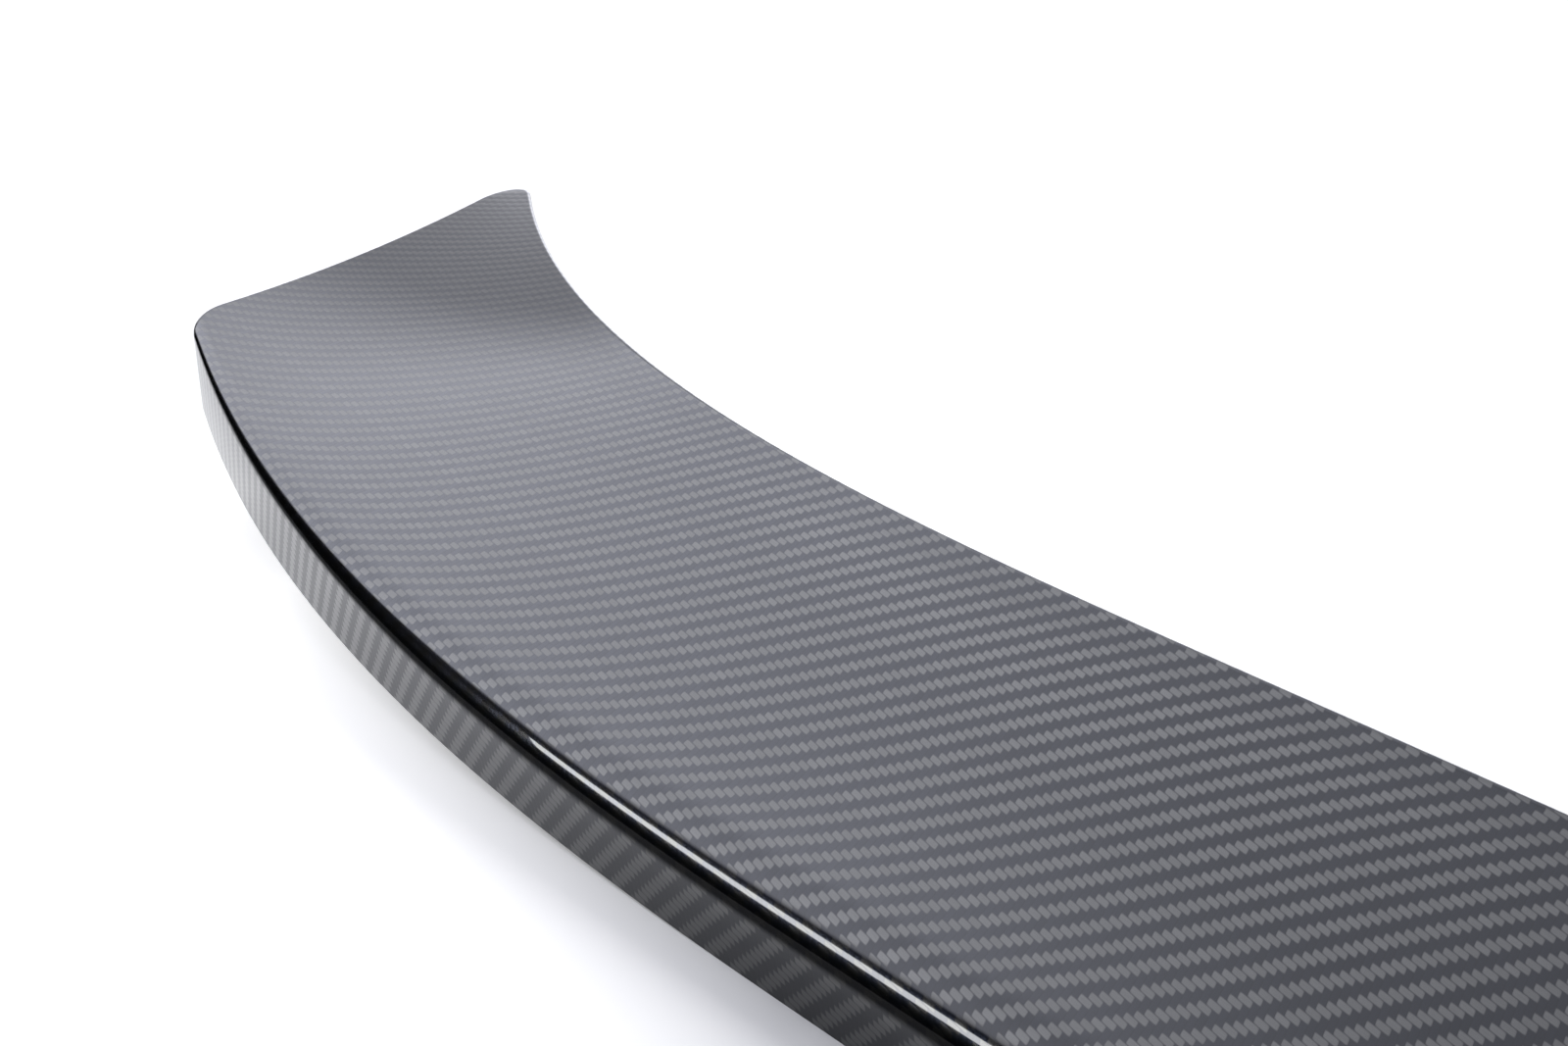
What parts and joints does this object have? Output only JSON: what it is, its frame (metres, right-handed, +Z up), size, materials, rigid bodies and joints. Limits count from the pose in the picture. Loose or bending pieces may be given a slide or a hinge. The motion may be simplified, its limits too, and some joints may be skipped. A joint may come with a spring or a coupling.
{
  "type": "car rear spoiler",
  "caption": "Wide one-piece carbon rear spoiler with swept ends: a concave ramp rises from a short rounded near face to a thin far edge, over an open underside with a bonding flange.",
  "frame": {"origin": "centre of the bounding box in X and Y, on the plane of the flat part of the base", "axes": "+X across the car along the spoiler, +Y from the near face towards the far edge, +Z up"},
  "size_m": [1.196, 0.2052, 0.0912],
  "materials": {
    "carbon": "twill carbon under a clear gloss coat"
  },
  "bodies": {
    "root": {"spoiler_shell": "carbon"}
  },
  "joints": []
}
